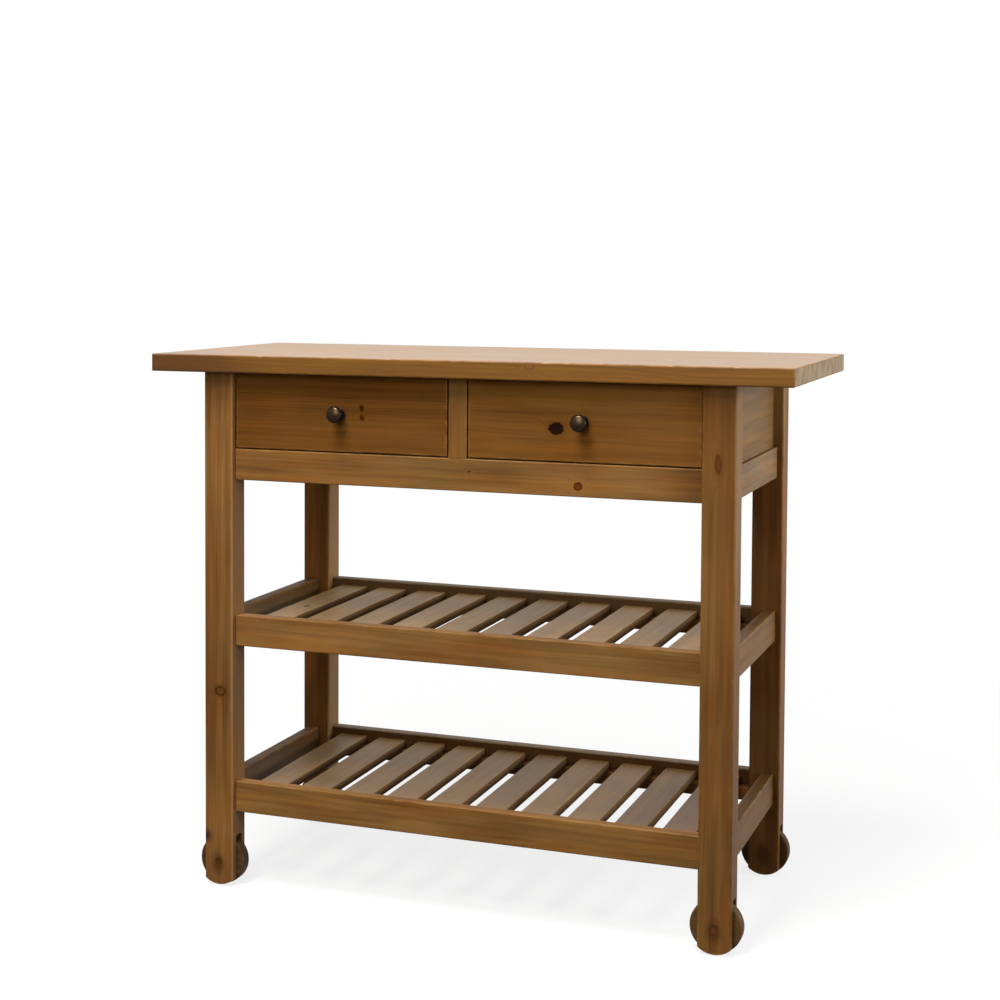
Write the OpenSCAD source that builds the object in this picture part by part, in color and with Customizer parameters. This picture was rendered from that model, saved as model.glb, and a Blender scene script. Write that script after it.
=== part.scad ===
// Rolling serving table: a stained pine table with two drawers, two slatted
// shelves and a wooden wheel let into the foot of each leg.
// Millimetres, +Z up, origin on the floor under the middle of the table.
// The drawers open towards -Y, and left and right are as seen from there.

/* [Top] */
// Height of the table, from the floor to the upper face of the top
table_h = 860; // [760:1:950]
// Length of the top
top_l = 1025; // [900:1:1300]
// Width of the top, from front to back
top_w = 470; // [420:1:600]
// Thickness of the top
top_t = 28; // [20:1:40]
// Radius of the eased edges of the top
top_ease = 3; // [1:0.5:6]

/* [Legs] */
// Overhang of the top past the legs, at each end
end_overhang = 85; // [40:1:130]
// Overhang of the top past the legs, at the front and the back
side_overhang = 20; // [10:1:40]
// Width of a leg, along the table
leg_l = 50; // [46:1:60]
// Depth of a leg, from front to back
leg_w = 45; // [42:1:60]
// Radius of the eased long edges of a leg
leg_ease = 3; // [1:0.5:5]

/* [Rails] */
// Thickness of the rails
rail_t = 20; // [16:1:24]
// Height of the rails
rail_h = 50; // [40:1:70]
// Radius of the eased edges of a rail, also at its shoulders
rail_ease = 2; // [0.5:0.5:4]
// Setback of the rails from the outer faces of the legs
rail_inset = 10; // [4:1:12]
// Gap between the rails below the drawers and the middle shelf's rails
middle_gap = 218; // [140:1:280]
// Height of the underside of the lower shelf's rails
lower_rail_z = 121; // [90:1:180]
// Length of the tenon at each end of a rail
tenon_l = 18; // [10:1:20]
// Thickness of the tenons
tenon_t = 10; // [6:1:12]
// Shoulder left above and below each tenon
tenon_shoulder = 5; // [3:1:10]
// Glue space past the end of each tenon
mortise_spare = 1; // [0.5:0.5:2]

/* [Drawer case] */
// Height of the drawer case, from the rails below it to the top
case_h = 123; // [100:1:150]
// Thickness of the side panels and the back panel
panel_t = 13; // [9:1:16]
// Setback of the panels from the outer faces of the legs
panel_inset = 17; // [12:1:20]
// Depth of the grooves in the legs that hold the panels
panel_groove = 8; // [4:1:10]
// Width of the upright between the drawers
divider_w = 30; // [20:1:50]
// Length of the stub tenon under the upright
divider_tenon_l = 12; // [6:1:20]
// Height of the runners that the drawers slide on
runner_h = 20; // [14:1:30]
// Height of the guides that stand on the runners
guide_h = 20; // [10:1:30]
// Height of the kickers that keep an open drawer level
kicker_h = 20; // [14:1:24]
// How far a runner or kicker reaches past a drawer side
runner_reach = 2; // [1:0.5:6]
// Distance of the top screws from the middle of their kicker
top_screw_y = 110; // [60:1:130]
// Diameter of the top screws
top_screw_d = 4; // [3:0.5:5]
// Diameter of the heads of the top screws
top_screw_head_d = 8; // [7:0.5:9]
// Height of the heads of the top screws
top_screw_head_h = 3; // [2:0.5:4]
// Depth of the top screws in the top
top_screw_bite = 15; // [8:1:18]

/* [Shelves] */
// Number of slats in a shelf
slat_n = 10; // [7:1:11]
// Width of a slat
slat_w = 51; // [30:1:60]
// Thickness of a slat
slat_t = 14; // [8:1:16]
// Radius of the eased long edges of a slat
slat_ease = 2; // [0.5:0.5:3]
// Gap between the end slats and the inner faces of the legs
slat_end_gap = 17; // [5:1:40]
// Depth of the slats' upper faces below the tops of the rails
slat_drop = 12; // [4:1:16]
// Width of the cleats under the ends of the slats
cleat_w = 15; // [10:1:25]
// Height of the cleats
cleat_h = 22; // [10:1:24]

/* [Drawers] */
// Gap round a drawer front
drawer_gap = 2; // [1:0.5:3]
// Thickness of a drawer front
front_t = 18; // [14:1:22]
// Radius of the eased edges of a drawer front
front_ease = 1.5; // [0.5:0.5:4]
// Thickness of the drawer sides
side_t = 12; // [9:1:16]
// Depth that the drawer sides are lapped into the front
side_lap = 10; // [6:1:12]
// Thickness of the drawer back
back_t = 12; // [9:1:16]
// Thickness of the drawer bottom
bottom_t = 5; // [3:0.5:8]
// Depth of the grooves that hold the drawer bottom
bottom_groove = 5; // [3:0.5:6]
// Height of the drawer bottom above the lower edges of the sides
bottom_rise = 8; // [5:0.5:15]
// Clearance between the drawer sides and the runners
run_gap = 0.3; // [0.2:0.1:1]
// Clearance between the drawer sides and the kickers
kick_gap = 2; // [1:0.5:5]
// Clearance between a closed drawer and the back panel
drawer_back_gap = 1; // [0.5:0.5:20]

/* [Knobs] */
// Diameter of a knob's head
knob_d = 26; // [22:1:32]
// Projection of a knob from the drawer front
knob_l = 26; // [24:1:32]
// Radius of the knob's rounded rim
knob_rim_r = 5; // [4:0.5:6]
// Radius of the knob's domed face
knob_dome_r = 15; // [14.5:0.5:20]
// Diameter of the knob's foot
knob_foot_d = 22; // [18:1:24]
// Thickness of the knob's foot
knob_foot_t = 2.5; // [1.5:0.5:4]
// Diameter of the knob's neck
knob_neck_d = 10; // [8:0.5:12]
// How far the neck flares up under the head
knob_flare = 2; // [0.5:0.5:4]
// Diameter of the screw that holds a knob
knob_screw_d = 4; // [3:0.5:5]
// Depth of that screw in the knob
knob_screw_bite = 12; // [8:1:15]
// Diameter of that screw's head
knob_screw_head_d = 8; // [7:0.5:10]
// Height of that screw's head
knob_screw_head_h = 2.5; // [2:0.5:4]

/* [Wheels] */
// Diameter of a wheel
wheel_d = 78; // [70:1:84]
// Width of a wheel
wheel_w = 20; // [14:1:22]
// Radius of the eased edges of a wheel
wheel_ease = 3; // [1:0.5:5]
// Clearance on each side of a wheel in its slot
wheel_side_gap = 0.5; // [0.3:0.1:1]
// Clearance above a wheel in its slot
wheel_top_gap = 3; // [2:0.5:8]
// Radius of the upper corners of the wheel slot
slot_corner_r = 5; // [2:0.5:7]
// Height of the foot's rounded underside above the floor
foot_lift = 2; // [1:0.5:6]
// Diameter of an axle
axle_d = 8; // [6:0.5:10]
// Running clearance between an axle and its wheel, on the radius
axle_gap = 0.05; // [0.02:0.01:0.1]
// Diameter of the plugs that cover the axle's ends
plug_d = 12; // [11:0.5:16]
// Depth of the holes that the plugs sit in
plug_hole_l = 6; // [4:0.5:8]
// Depth of a plug's face below the face of the leg
plug_recess = 1; // [0.5:0.5:2]

/* [Hidden] */
$fn = 64;

// Stain colours
pine = "#8A5F33";
dark_pine = "#6E4520";
slat_pine = "#86694B";
raw_pine = "#B08A5A";
plug_pine = "#4A2F1A";
pewter = "#4C433C";
steel = "#9A9CA0";

// A small overlap that makes cuts clean
cut = 1;

// Half sizes, measured from the middle of the table
leg_x = top_l / 2 - end_overhang;
leg_y = top_w / 2 - side_overhang;
leg_inner_x = leg_x - leg_l;
leg_inner_y = leg_y - leg_w;
rail_x = leg_x - rail_inset;
rail_y = leg_y - rail_inset;
rail_inner_x = rail_x - rail_t;
rail_inner_y = rail_y - rail_t;
panel_x = leg_x - panel_inset;
panel_y = leg_y - panel_inset;
panel_inner_x = panel_x - panel_t;
panel_inner_y = panel_y - panel_t;

// Heights
under_top = table_h - top_t;
case_floor = under_top - case_h;
case_rail_z = case_floor - rail_h;
middle_rail_z = case_rail_z - middle_gap - rail_h;
rail_levels = [case_rail_z, middle_rail_z, lower_rail_z];

// Drawers
opening_w = leg_inner_x - divider_w / 2;
drawer_w = opening_w - 2 * drawer_gap;
drawer_mid_x = divider_w / 2 + opening_w / 2;
front_h = case_h - 2 * drawer_gap;
front_z = case_floor + drawer_gap;
drawer_front_y = -rail_y;
drawer_rear_y = panel_inner_y - drawer_back_gap;
side_z = case_floor + run_gap;
side_h = case_h - kicker_h - kick_gap - run_gap;
front_rear_y = drawer_front_y + front_t;
side_front_y = front_rear_y - side_lap;
bottom_z = side_z + bottom_rise;
strip_w = drawer_gap + side_t + runner_reach;
knob_z = front_z + front_h / 2;

// Wheels and feet
wheel_r = wheel_d / 2;
axle_x = leg_x - leg_l / 2;
axle_y = leg_y - leg_w / 2;
axle_z = wheel_r;
slot_w = wheel_w + 2 * wheel_side_gap;
slot_top = wheel_d + wheel_top_gap;
foot_r = wheel_r - foot_lift;
axle_l = leg_w - 2 * plug_hole_l;

// Slats
slat_row_l = 2 * (leg_inner_x - slat_end_gap);
slat_pitch = (slat_row_l - slat_w) / (slat_n - 1);
slat_rise = rail_h - slat_drop - slat_t;

// A rectangle with rounded corners, its middle at the origin
module rounded_rect(size, r) {
  square([size[0] - 2 * r, size[1]], center = true);
  square([size[0], size[1] - 2 * r], center = true);
  for (sx = [-1, 1], sy = [-1, 1])
    translate([sx * (size[0] / 2 - r), sy * (size[1] / 2 - r)]) circle(r = r);
}

// A bar along X with eased long edges, centred, its section being [y, z]
module bar_x(length, section, r) {
  rotate([90, 0, 90])
    linear_extrude(length, center = true) rounded_rect(section, r);
}

// A bar along Y with eased long edges, centred, its section being [x, z]
module bar_y(length, section, r) {
  rotate([90, 0, 0])
    linear_extrude(length, center = true) rounded_rect(section, r);
}

// A board with every edge eased, its middle at the origin
module eased_board(size, r) {
  intersection() {
    linear_extrude(size[2], center = true) rounded_rect([size[0], size[1]], r);
    bar_x(size[0], [size[1], size[2]], r);
    bar_y(size[1], [size[0], size[2]], r);
  }
}

// A box from its low corner to its high corner
module span(low, high) {
  translate(low) cube(high - low);
}

// Repeats a shape of the rear right quarter at another corner
module corner(side_x, side_y) {
  mirror([side_x < 0 ? 1 : 0, 0, 0])
    mirror([0, side_y < 0 ? 1 : 0, 0])
      children();
}

// Tenon of a front or rear rail whose underside is at height z, with a spare length
module long_tenon(z, spare) {
  reach = leg_inner_x + tenon_l + spare;
  mid_y = rail_y - rail_t / 2;
  span([-reach, mid_y - tenon_t / 2, z + tenon_shoulder],
       [reach, mid_y + tenon_t / 2, z + rail_h - tenon_shoulder]);
}

// Tenon of a side rail whose underside is at height z, with a spare length
module side_tenon(z, spare) {
  reach = leg_inner_y + tenon_l + spare;
  mid_x = rail_x - rail_t / 2;
  span([mid_x - tenon_t / 2, -reach, z + tenon_shoulder],
       [mid_x + tenon_t / 2, reach, z + rail_h - tenon_shoulder]);
}

// Wood taken off the foot so that it ends in a round just inside the wheel
module foot_waste() {
  difference() {
    span([leg_inner_x - cut, leg_inner_y - cut, -cut],
         [leg_x + cut, leg_y + cut, axle_z]);
    translate([axle_x, leg_y + 2 * cut, axle_z])
      rotate([90, 0, 0]) cylinder(r = foot_r, h = leg_w + 4 * cut);
  }
}

// Slot through the foot, open to the ends of the table and below
module wheel_slot() {
  translate([leg_inner_x - cut, axle_y, 0])
    rotate([90, 0, 90])
      linear_extrude(leg_l + 2 * cut) {
        translate([-slot_w / 2, -cut]) square([slot_w, slot_top - slot_corner_r + cut]);
        translate([0, slot_top / 2]) rounded_rect([slot_w, slot_top], slot_corner_r);
      }
}

// Round bar along Y, centred on the axle of the rear right wheel
module axle_round(d, length) {
  translate([axle_x, axle_y + length / 2, axle_z])
    rotate([90, 0, 0]) cylinder(d = d, h = length);
}

// Holes for the axle and for the plugs over its ends
module axle_holes() {
  axle_round(axle_d, leg_w + 2 * cut);
  difference() {
    axle_round(plug_d, leg_w + 2 * cut);
    axle_round(plug_d + 2 * cut, axle_l);
  }
}

// Leg of the rear right corner, and without the back panel's groove a front one
module leg(has_back_groove) {
  color(pine) difference() {
    translate([axle_x, axle_y, 0])
      linear_extrude(under_top) rounded_rect([leg_l, leg_w], leg_ease);
    foot_waste();
    wheel_slot();
    axle_holes();
    for (z = rail_levels) {
      long_tenon(z, mortise_spare);
      side_tenon(z, mortise_spare);
    }
    span([panel_inner_x, 0, case_floor],
         [panel_x, leg_inner_y + panel_groove, under_top + cut]);
    if (has_back_groove)
      span([0, panel_inner_y, case_floor],
           [leg_inner_x + panel_groove, panel_y, under_top + cut]);
  }
}

module leg_front_left() corner(-1, -1) leg(false);
module leg_front_right() corner(1, -1) leg(false);
module leg_rear_left() corner(-1, 1) leg(true);
module leg_rear_right() corner(1, 1) leg(true);

// Top
module tabletop() {
  color(pine) difference() {
    translate([0, 0, table_h - top_t / 2]) eased_board([top_l, top_w, top_t], top_ease);
    top_screw_shanks();
  }
}

// Rail of the rear, tenoned between two legs, with its underside at height z
module long_rail(z) {
  color(pine) {
    translate([0, rail_y - rail_t / 2, z + rail_h / 2])
      eased_board([2 * leg_inner_x, rail_t, rail_h], rail_ease);
    long_tenon(z, 0);
  }
}

// Rail of the right end, tenoned between two legs, with its underside at height z
module side_rail(z) {
  color(pine) {
    translate([rail_x - rail_t / 2, 0, z + rail_h / 2])
      eased_board([rail_t, 2 * leg_inner_y, rail_h], rail_ease);
    side_tenon(z, 0);
  }
}

// Stub tenon of the upright, at the front
module divider_tenon(spare) {
  mid_y = rail_y - rail_t / 2;
  half_w = divider_w / 2 - tenon_shoulder;
  span([-half_w, -mid_y - tenon_t / 2, case_floor - divider_tenon_l - spare],
       [half_w, -mid_y + tenon_t / 2, case_floor]);
}

module case_front_rail() difference() {
  corner(1, -1) long_rail(case_rail_z);
  divider_tenon(mortise_spare);
}
module case_rear_rail() long_rail(case_rail_z);
module case_left_rail() corner(-1, 1) side_rail(case_rail_z);
module case_right_rail() side_rail(case_rail_z);

module drawer_divider() {
  color(pine) {
    translate([0, -rail_y + rail_t / 2, case_floor])
      linear_extrude(case_h) rounded_rect([divider_w, rail_t], rail_ease);
    divider_tenon(0);
  }
}

// Panels above the rails, their ends in the legs' grooves
module side_panel() {
  reach = leg_inner_y + panel_groove;
  color(pine) span([panel_inner_x, -reach, case_floor], [panel_x, reach, under_top]);
}
module side_panel_left() corner(-1, 1) side_panel();
module side_panel_right() side_panel();

module back_panel() {
  reach = leg_inner_x + panel_groove;
  color(pine) span([-reach, panel_inner_y, case_floor], [reach, panel_y, under_top]);
}

// Runner of the right end: a strip under the drawer side, fitted round the legs,
// with a guide beside the drawer
module end_runner() {
  low = case_floor - runner_h;
  color(raw_pine) {
    span([leg_inner_x - strip_w, -rail_inner_y, low],
         [leg_inner_x, rail_inner_y, case_floor]);
    span([leg_inner_x, -leg_inner_y, low], [rail_inner_x, leg_inner_y, case_floor]);
    span([leg_inner_x, -leg_inner_y, case_floor],
         [panel_inner_x, leg_inner_y, case_floor + guide_h]);
  }
}
module runner_left() corner(-1, 1) end_runner();
module runner_right() end_runner();

module runner_centre() {
  half_w = divider_w / 2;
  color(raw_pine) {
    span([-half_w - strip_w, -rail_inner_y, case_floor - runner_h],
         [half_w + strip_w, rail_inner_y, case_floor]);
    span([-half_w, -rail_inner_y, case_floor],
         [half_w, panel_inner_y, case_floor + guide_h]);
  }
}

// Top screws go up through the kickers
end_kicker_x = (leg_inner_x - strip_w + panel_inner_x) / 2;
module at_top_screws() {
  for (x = [-end_kicker_x, 0, end_kicker_x], y = [-top_screw_y, top_screw_y])
    translate([x, y, under_top]) children();
}
module top_screw_shanks() {
  at_top_screws() translate([0, 0, -kicker_h])
    cylinder(d = top_screw_d, h = kicker_h + top_screw_bite);
}
module top_screw_heads() {
  at_top_screws() translate([0, 0, -kicker_h])
    cylinder(d = top_screw_head_d, h = top_screw_head_h);
}
module top_screws() {
  color(steel) {
    top_screw_shanks();
    top_screw_heads();
  }
}

// Kicker under the top, from x = low to x = high
module kicker(low, high) {
  color(raw_pine) difference() {
    span([low, -leg_inner_y, under_top - kicker_h], [high, leg_inner_y, under_top]);
    top_screw_shanks();
    top_screw_heads();
  }
}
module kicker_left() kicker(-panel_inner_x, strip_w - leg_inner_x);
module kicker_centre() kicker(-divider_w / 2 - strip_w, divider_w / 2 + strip_w);
module kicker_right() kicker(leg_inner_x - strip_w, panel_inner_x);

// Slats of a shelf whose rails' underside is at height z
module slats(z) {
  color(slat_pine) for (i = [0 : slat_n - 1])
    translate([(i - (slat_n - 1) / 2) * slat_pitch, 0, z + slat_rise + slat_t / 2])
      bar_y(2 * rail_inner_y, [slat_w, slat_t], slat_ease);
}

// Cleat on the inner face of the rear rail, under the slats
module cleat(z) {
  color(dark_pine)
    span([-leg_inner_x, rail_inner_y - cleat_w, z + slat_rise - cleat_h],
         [leg_inner_x, rail_inner_y, z + slat_rise]);
}

module middle_front_rail() corner(1, -1) long_rail(middle_rail_z);
module middle_rear_rail() long_rail(middle_rail_z);
module middle_left_rail() corner(-1, 1) side_rail(middle_rail_z);
module middle_right_rail() side_rail(middle_rail_z);
module middle_front_cleat() corner(1, -1) cleat(middle_rail_z);
module middle_rear_cleat() cleat(middle_rail_z);
module middle_slats() slats(middle_rail_z);

module lower_front_rail() corner(1, -1) long_rail(lower_rail_z);
module lower_rear_rail() long_rail(lower_rail_z);
module lower_left_rail() corner(-1, 1) side_rail(lower_rail_z);
module lower_right_rail() side_rail(lower_rail_z);
module lower_front_cleat() corner(1, -1) cleat(lower_rail_z);
module lower_rear_cleat() cleat(lower_rail_z);
module lower_slats() slats(lower_rail_z);

// Axles, driven into the feet
module axle() color(steel) axle_round(axle_d, axle_l);
module axle_front_left() corner(-1, -1) axle();
module axle_front_right() corner(1, -1) axle();
module axle_rear_left() corner(-1, 1) axle();
module axle_rear_right() corner(1, 1) axle();

// Plugs over both ends of every axle
module axle_plugs() {
  color(plug_pine) for (side_x = [-1, 1], side_y = [-1, 1])
    corner(side_x, side_y) difference() {
      axle_round(plug_d, leg_w - 2 * plug_recess);
      axle_round(plug_d + 2 * cut, axle_l);
    }
}

// Wheel of the rear right corner
module wheel() {
  color(dark_pine) translate([axle_x, axle_y, axle_z])
    rotate([90, 0, 0])
      difference() {
        rotate_extrude() intersection() {
          rounded_rect([wheel_d, wheel_w], wheel_ease);
          translate([0, -wheel_w]) square([wheel_d, 2 * wheel_w]);
        }
        cylinder(d = axle_d + 2 * axle_gap, h = wheel_w + 2 * cut, center = true);
      }
}
module wheel_front_left() corner(-1, -1) wheel();
module wheel_front_right() corner(1, -1) wheel();
module wheel_rear_left() corner(-1, 1) wheel();
module wheel_rear_right() corner(1, 1) wheel();

// Shank of a knob's screw, from inside the drawer
module knob_screw_shank() {
  translate([0, drawer_front_y - knob_screw_bite, knob_z])
    rotate([-90, 0, 0]) cylinder(d = knob_screw_d, h = knob_screw_bite + front_t);
}

// Right drawer, with its middle at x = 0. The front is lapped over the sides
module drawer_front() {
  half_w = drawer_w / 2;
  bottom_half_w = half_w - side_t + bottom_groove;
  color(dark_pine) difference() {
    translate([0, drawer_front_y + front_t / 2, front_z + front_h / 2])
      eased_board([drawer_w, front_t, front_h], front_ease);
    for (side = [-1, 1])
      corner(side, 1)
        span([half_w - side_t, side_front_y, side_z],
             [half_w + cut, front_rear_y + cut, side_z + side_h]);
    span([-bottom_half_w, front_rear_y - bottom_groove, bottom_z],
         [bottom_half_w, front_rear_y + cut, bottom_z + bottom_t]);
    knob_screw_shank();
  }
}

// Side at the drawer's right, with a groove for the bottom
module drawer_side() {
  outer = drawer_w / 2;
  color(raw_pine) difference() {
    span([outer - side_t, side_front_y, side_z], [outer, drawer_rear_y, side_z + side_h]);
    span([0, side_front_y - cut, bottom_z],
         [outer - side_t + bottom_groove, drawer_rear_y + cut, bottom_z + bottom_t]);
  }
}

module drawer_back() {
  half_w = drawer_w / 2 - side_t;
  color(raw_pine) span([-half_w, drawer_rear_y - back_t, bottom_z + bottom_t],
                       [half_w, drawer_rear_y, side_z + side_h]);
}

module drawer_bottom() {
  half_w = drawer_w / 2 - side_t + bottom_groove;
  color(raw_pine) span([-half_w, front_rear_y - bottom_groove, bottom_z],
                       [half_w, drawer_rear_y, bottom_z + bottom_t]);
}

// Outline of a knob: x is the radius, y the distance from the drawer front.
// The rim's arc runs into the dome's arc where both have the same tangent
module knob_outline() {
  neck_r = knob_neck_d / 2;
  plate_r = (knob_foot_d - knob_foot_t) / 2;
  rim_x = knob_d / 2 - knob_rim_r;
  dome_y = knob_l - knob_dome_r;
  rim_y = dome_y + sqrt(pow(knob_dome_r - knob_rim_r, 2) - pow(rim_x, 2));
  under_y = rim_y - knob_rim_r;
  square([plate_r, knob_foot_t]);
  translate([plate_r, knob_foot_t / 2]) circle(d = knob_foot_t);
  square([neck_r, rim_y]);
  polygon([[0, under_y - knob_flare], [neck_r, under_y - knob_flare],
           [rim_x, under_y], [rim_x, rim_y], [0, rim_y]]);
  translate([rim_x, rim_y]) circle(r = knob_rim_r);
  intersection() {
    translate([0, dome_y]) circle(r = knob_dome_r);
    polygon([[0, dome_y], [2 * rim_x, 2 * rim_y - dome_y], [0, knob_l + cut]]);
  }
}

module knob() {
  color(pewter) difference() {
    translate([0, drawer_front_y, knob_z])
      rotate([90, 0, 0]) rotate_extrude() knob_outline();
    knob_screw_shank();
  }
}

module knob_screw() {
  color(steel) {
    knob_screw_shank();
    translate([0, front_rear_y, knob_z])
      rotate([-90, 0, 0]) cylinder(d = knob_screw_head_d, h = knob_screw_head_h);
  }
}

// Places a piece of the right drawer, or of the left one
module in_right_drawer() translate([drawer_mid_x, 0, 0]) children();
module in_left_drawer() translate([-drawer_mid_x, 0, 0]) children();

module left_drawer_front() in_left_drawer() drawer_front();
module left_drawer_left_side() in_left_drawer() corner(-1, 1) drawer_side();
module left_drawer_right_side() in_left_drawer() drawer_side();
module left_drawer_back() in_left_drawer() drawer_back();
module left_drawer_bottom() in_left_drawer() drawer_bottom();
module left_knob() in_left_drawer() knob();
module left_knob_screw() in_left_drawer() knob_screw();
module right_drawer_front() in_right_drawer() drawer_front();
module right_drawer_left_side() in_right_drawer() corner(-1, 1) drawer_side();
module right_drawer_right_side() in_right_drawer() drawer_side();
module right_drawer_back() in_right_drawer() drawer_back();
module right_drawer_bottom() in_right_drawer() drawer_bottom();
module right_knob() in_right_drawer() knob();
module right_knob_screw() in_right_drawer() knob_screw();

tabletop();
leg_front_left();
leg_front_right();
leg_rear_left();
leg_rear_right();
case_front_rail();
case_rear_rail();
case_left_rail();
case_right_rail();
side_panel_left();
side_panel_right();
back_panel();
drawer_divider();
runner_left();
runner_centre();
runner_right();
kicker_left();
kicker_centre();
kicker_right();
top_screws();
middle_front_rail();
middle_rear_rail();
middle_left_rail();
middle_right_rail();
middle_front_cleat();
middle_rear_cleat();
middle_slats();
lower_front_rail();
lower_rear_rail();
lower_left_rail();
lower_right_rail();
lower_front_cleat();
lower_rear_cleat();
lower_slats();
axle_front_left();
axle_front_right();
axle_rear_left();
axle_rear_right();
axle_plugs();
wheel_front_left();
wheel_front_right();
wheel_rear_left();
wheel_rear_right();
left_drawer_front();
left_drawer_left_side();
left_drawer_right_side();
left_drawer_back();
left_drawer_bottom();
left_knob();
left_knob_screw();
right_drawer_front();
right_drawer_left_side();
right_drawer_right_side();
right_drawer_back();
right_drawer_bottom();
right_knob();
right_knob_screw();
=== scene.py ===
import math

import bpy
import numpy as np
from mathutils import Matrix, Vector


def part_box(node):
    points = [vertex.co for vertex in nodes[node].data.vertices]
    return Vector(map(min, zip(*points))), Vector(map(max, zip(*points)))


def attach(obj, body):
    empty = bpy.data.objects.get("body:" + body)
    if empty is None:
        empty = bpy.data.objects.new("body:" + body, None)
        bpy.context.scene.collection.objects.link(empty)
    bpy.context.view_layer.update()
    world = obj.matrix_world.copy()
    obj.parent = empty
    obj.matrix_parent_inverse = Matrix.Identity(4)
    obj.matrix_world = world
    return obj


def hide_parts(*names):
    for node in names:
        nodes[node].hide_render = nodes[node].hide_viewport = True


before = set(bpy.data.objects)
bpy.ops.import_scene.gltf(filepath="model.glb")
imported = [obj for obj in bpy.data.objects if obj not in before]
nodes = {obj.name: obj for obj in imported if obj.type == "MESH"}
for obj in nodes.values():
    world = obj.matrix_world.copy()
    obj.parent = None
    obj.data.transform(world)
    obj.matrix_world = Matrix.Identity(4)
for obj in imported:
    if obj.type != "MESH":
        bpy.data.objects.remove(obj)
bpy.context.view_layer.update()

# Legs
# Four square legs of softwood, each planed from one length, with eased long edges.
# Each foot is rounded and slotted for its wheel, and the grain runs up the leg.


def colour(code):
    """Turns an sRGB hex colour into linear red, green, blue and alpha."""
    parts = [int(code[i : i + 2], 16) / 255 for i in (0, 2, 4)]
    linear = [p / 12.92 if p <= 0.04045 else ((p + 0.055) / 1.055) ** 2.4 for p in parts]
    return [*linear, 1.0]


def socket(sockets, key):
    """Finds a socket by its number, or by its name among those in use."""
    if isinstance(key, int):
        return sockets[key]
    return next(s for s in sockets if s.enabled and s.name == key)


def add(material, kind, inputs=(), stops=(), **settings):
    """Adds a node with its settings, fills or links its inputs and places its colour stops."""
    node = material.node_tree.nodes.new("ShaderNode" + kind)
    for name, value in settings.items():
        setattr(node, name, value)
    for key, value in dict(inputs).items():
        if isinstance(value, bpy.types.Node):
            value = next(s for s in value.outputs if s.enabled)
        if isinstance(value, bpy.types.NodeSocket):
            material.node_tree.links.new(value, socket(node.inputs, key))
        else:
            socket(node.inputs, key).default_value = value
    if stops:
        while len(node.color_ramp.elements) < len(stops):
            node.color_ramp.elements.new(0.5)
        for element, (place, tone) in zip(node.color_ramp.elements, stops):
            element.position = place
            element.color = colour(tone)
    return node


def new_material(name):
    """Starts an empty material."""
    material = bpy.data.materials.new(name)
    material.use_nodes = True
    material.node_tree.nodes.clear()
    return material


# Half length of a knot or a patch that has no end in that direction
ALL = math.inf


def ellipsoid(m, place, centre, half_lengths):
    """Distance from the centre of an ellipsoid, 1 at its skin: |(place - centre) / half|.

    The centre and the half lengths are in millimetres.
    """
    scale = [1000 / r for r in half_lengths]
    offset = [-s * c / 1000 for s, c in zip(scale, centre)]
    moved = add(m, "Mapping", {"Vector": place, "Location": offset, "Scale": scale})
    return add(m, "VectorMath", {0: moved}, operation="LENGTH").outputs["Value"]


def drawn_out(m, wood, waves, start, detail=2.0, roughness=0.5):
    """Noise stretched along the grain, with so many waves in a metre along and across it."""
    along, across = waves
    place = add(m, "Mapping", {"Vector": wood, "Location": start, "Scale": (along, across, across)})
    return add(m, "TexNoise", {"Vector": place, "Scale": 1.0, "Detail": detail, "Roughness": roughness})


def side_by_side(m, whole, pitch, count):
    """Parts a node into its boards, which lie pitch metres apart across the grain.

    Returns the place within a board, its place in the tree, and a random number per board.
    The random colour also shifts each board's wood by up to 4.5 m along the tree, 40 mm
    across it and 25 mm in depth, so that no two boards look alike.
    """
    apart = add(m, "SeparateXYZ", {0: whole})
    step = add(m, "Math", {0: apart.outputs["Y"], 1: 1 / pitch, 2: count / 2}, operation="MULTIPLY_ADD")
    number = add(m, "Math", {0: step}, operation="FLOOR")
    chance = add(m, "TexWhiteNoise", {"W": number}, noise_dimensions="1D")
    share = add(m, "Math", {0: step}, operation="FRACT")
    across = add(m, "Math", {0: share, 1: 0.5}, operation="SUBTRACT")
    across = add(m, "Math", {0: across, 1: pitch}, operation="MULTIPLY")
    local = add(m, "CombineXYZ", {0: apart.outputs["X"], 1: across, 2: apart.outputs["Z"]})
    shift = add(m, "VectorMath", {0: chance.outputs["Color"], 1: (0.5, 0.5, 0.5)}, operation="SUBTRACT")
    shift = add(m, "VectorMath", {0: shift, 1: (9, 0.08, 0.05)}, operation="MULTIPLY")
    wood = add(m, "VectorMath", {0: local, 1: shift}, operation="ADD")
    return local, wood, chance.outputs["Value"]


def nearest_knot(m, whole, knots, grit):
    """Distance from the nearest knot, 1 at its rim, roughened by half of the grit."""
    nearest = None
    for centre, half_lengths in knots:
        far = ellipsoid(m, whole, centre, half_lengths)
        far = add(m, "Math", {0: grit, 1: 0.5, 2: far}, operation="MULTIPLY_ADD")
        far = add(m, "Math", {0: far, 1: 0.25}, operation="SUBTRACT")
        nearest = add(m, "Math", {0: nearest, 1: far}, operation="MINIMUM") if nearest else far
    return nearest


# Width of a growth ring, and how it darkens from early to late wood over one year
RING_WIDTH = 0.005
ONE_YEAR = ((0.0, "383838"), (0.2, "000000"), (0.45, "202020"), (0.8, "FFFFFF"), (0.97, "A0A0A0"))


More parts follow.
